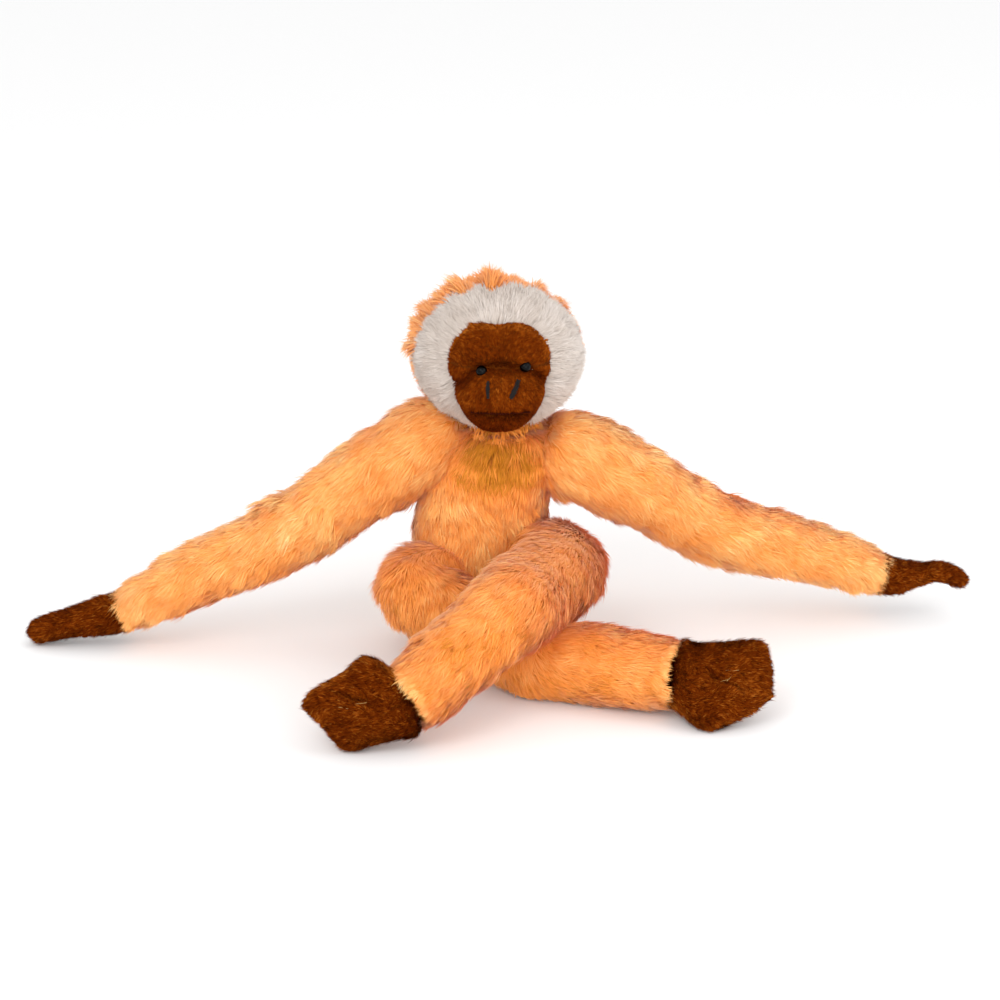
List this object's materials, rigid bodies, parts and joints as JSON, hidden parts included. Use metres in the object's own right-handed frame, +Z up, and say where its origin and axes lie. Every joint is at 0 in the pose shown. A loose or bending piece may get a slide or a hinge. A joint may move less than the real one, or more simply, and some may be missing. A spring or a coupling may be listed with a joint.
{
  "type": "stuffed monkey",
  "caption": "Seated plush gibbon with long arms held out, crossed legs, a white face ruff and velour face, hands and feet.",
  "frame": {"origin": "centre of the flat seat, on the surface the toy sits on", "axes": "+Z up, the toy faces -Y, its own left arm is towards +X; the arms span X"},
  "size_m": [0.5102, 0.2046, 0.2029],
  "materials": {
    "orange_plush": "long combed pile",
    "white_plush": "long pile",
    "brown_velour": "short dense pile",
    "stuffing_fibre": "loose fibre",
    "bag_cloth": "plain woven",
    "pellets": "moulded pellets",
    "washer_plastic": "moulded",
    "eye_plastic": "polished",
    "black_thread": "satin stitch",
    "brown_thread": "twisted",
    "orange_thread": "twisted"
  },
  "bodies": {
    "torso": {"torso_front_panel": "orange_plush", "torso_back_panel": "orange_plush", "torso_stuffing": "stuffing_fibre", "seat_pellet_bag": "bag_cloth", "seat_pellets": "pellets", "back_closing_stitch": "orange_thread", "hip_stitch_right": "orange_thread", "hip_stitch_left": "orange_thread"},
    "neck": {"neck_cover": "orange_plush", "neck_gather_thread": "orange_thread"},
    "head": {"hood": "orange_plush", "ruff": "white_plush", "brow": "brown_velour", "muzzle": "brown_velour", "head_stuffing": "stuffing_fibre", "eye_left": "eye_plastic", "eye_right": "eye_plastic", "eye_washer_left": "washer_plastic", "eye_washer_right": "washer_plastic", "nostril_stitch_left": "black_thread", "nostril_stitch_right": "black_thread", "mouth_stitch": "brown_thread"},
    "shoulder_right": {"shoulder_stitch_right": "orange_thread"},
    "upper_arm_right": {"upper_arm_cover_right": "orange_plush", "upper_arm_stuffing_right": "stuffing_fibre"},
    "forearm_right": {"forearm_cover_right": "orange_plush", "forearm_stuffing_right": "stuffing_fibre"},
    "hand_right": {"hand_back_right": "brown_velour", "hand_palm_right": "brown_velour", "hand_stuffing_right": "stuffing_fibre"},
    "shoulder_left": {"shoulder_stitch_left": "orange_thread"},
    "upper_arm_left": {"upper_arm_cover_left": "orange_plush", "upper_arm_stuffing_left": "stuffing_fibre"},
    "forearm_left": {"forearm_cover_left": "orange_plush", "forearm_stuffing_left": "stuffing_fibre"},
    "hand_left": {"hand_back_left": "brown_velour", "hand_palm_left": "brown_velour", "hand_stuffing_left": "stuffing_fibre"},
    "thigh_right": {"thigh_cover_right": "orange_plush", "thigh_stuffing_right": "stuffing_fibre"},
    "shin_right": {"shin_cover_right": "orange_plush", "shin_stuffing_right": "stuffing_fibre"},
    "foot_right": {"foot_top_right": "brown_velour", "foot_sole_right": "brown_velour", "foot_stuffing_right": "stuffing_fibre"},
    "thigh_left": {"thigh_cover_left": "orange_plush", "thigh_stuffing_left": "stuffing_fibre"},
    "shin_left": {"shin_cover_left": "orange_plush", "shin_stuffing_left": "stuffing_fibre"},
    "foot_left": {"foot_top_left": "brown_velour", "foot_sole_left": "brown_velour", "foot_stuffing_left": "stuffing_fibre"}
  },
  "joints": [
    {"name": "neck_turn", "type": "hinge", "parent": "torso", "child": "neck", "pos_m": [0.01004, 0, 0.11347], "axis": [0.1045, 0, 0.9945], "range_deg": [-30, 30]},
    {"name": "neck_nod", "type": "hinge", "parent": "neck", "child": "head", "pos_m": [0.00903, -0.002, 0.12297], "axis": [-1, 0, 0], "range_deg": [-15, 14]},
    {"name": "shoulder_swing_right", "type": "hinge", "parent": "torso", "child": "shoulder_right", "pos_m": [-0.02738, 0, 0.11338], "axis": [0, 0, 1], "range_deg": [-12, 30]},
    {"name": "shoulder_raise_right", "type": "hinge", "parent": "shoulder_right", "child": "upper_arm_right", "pos_m": [-0.02738, 0, 0.11338], "axis": [-0.1132, 0.9936, 0], "range_deg": [-25, 82]},
    {"name": "elbow_right", "type": "hinge", "parent": "upper_arm_right", "child": "forearm_right", "pos_m": [-0.10617, -0.00898, 0.06384], "axis": [-0.5265, -0.06, 0.848], "range_deg": [0, 60]},
    {"name": "wrist_right", "type": "hinge", "parent": "forearm_right", "child": "hand_right", "pos_m": [-0.19667, -0.00898, 0.019], "axis": [0, 1, 0], "range_deg": [-30, 35]},
    {"name": "shoulder_swing_left", "type": "hinge", "parent": "torso", "child": "shoulder_left", "pos_m": [0.04662, 0, 0.10561], "axis": [0, 0, -1], "range_deg": [-12, 30]},
    {"name": "shoulder_raise_left", "type": "hinge", "parent": "shoulder_left", "child": "upper_arm_left", "pos_m": [0.04662, 0, 0.10561], "axis": [0.1977, -0.9803, 0], "range_deg": [-25, 82]},
    {"name": "elbow_left", "type": "hinge", "parent": "upper_arm_left", "child": "forearm_left", "pos_m": [0.12591, 0.01599, 0.05872], "axis": [-0.4916, -0.0991, -0.8652], "range_deg": [0, 60]},
    {"name": "wrist_left", "type": "hinge", "parent": "forearm_left", "child": "hand_left", "pos_m": [0.22042, 0.03011, 0.026], "axis": [0.2317, -0.9728, 0], "range_deg": [-30, 35]},
    {"name": "hip_right", "type": "hinge", "parent": "torso", "child": "thigh_right", "pos_m": [-0.03437, -0.03525, 0.042], "axis": [-0.4787, -0.878, 0], "range_deg": [-60, 0]},
    {"name": "knee_right", "type": "hinge", "parent": "thigh_right", "child": "shin_right", "pos_m": [0.02874, -0.06965, 0.0173], "axis": [-0.4787, -0.878, 0], "range_deg": [-20, 25]},
    {"name": "ankle_right", "type": "hinge", "parent": "shin_right", "child": "foot_right", "pos_m": [0.09784, -0.101, 0.0215], "axis": [-0.2123, -0.7003, -0.6816], "range_deg": [-15, 15]},
    {"name": "hip_left", "type": "hinge", "parent": "torso", "child": "thigh_left", "pos_m": [0.04091, -0.02678, 0.05214], "axis": [-0.9455, 0.3256, 0], "range_deg": [0, 40]},
    {"name": "knee_left", "type": "hinge", "parent": "thigh_left", "child": "shin_left", "pos_m": [0.01623, -0.09846, 0.05744], "axis": [-0.9455, 0.3256, 0], "range_deg": [-15, 40]},
    {"name": "ankle_left", "type": "hinge", "parent": "shin_left", "child": "foot_left", "pos_m": [-0.03678, -0.14294, 0.026], "axis": [0.0008, 0.106, 0.9944], "range_deg": [-15, 15]}
  ]
}
